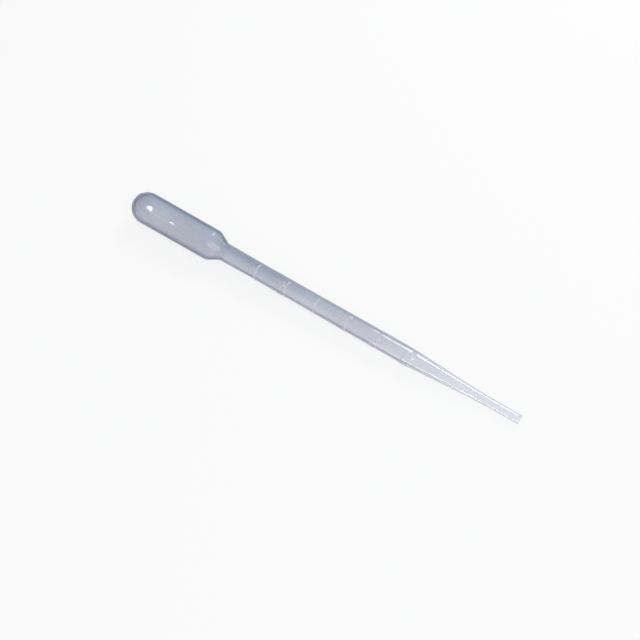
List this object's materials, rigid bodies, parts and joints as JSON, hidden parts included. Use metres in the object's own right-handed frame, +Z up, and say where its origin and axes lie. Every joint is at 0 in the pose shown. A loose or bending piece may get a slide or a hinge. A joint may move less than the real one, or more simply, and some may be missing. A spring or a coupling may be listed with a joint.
{
  "type": "transfer pipette",
  "caption": "Soft clear plastic dropper pipette: a squeeze bulb, a straight stem with raised volume lines and figures, and a narrow tapered tip with an open bore.",
  "frame": {"origin": "the middle of the bounding box's bottom, on the surface that the pipette lies on", "axes": "+X along the pipette from the bulb to the tip, +Z up from the surface it lies on, -Y towards the side that its figures face"},
  "size_m": [0.1502, 0.0112, 0.012],
  "materials": {
    "polyethylene": "smooth and milky clear, as low-density polyethylene is"
  },
  "bodies": {
    "root": {"pipette_body": "polyethylene"}
  },
  "joints": []
}
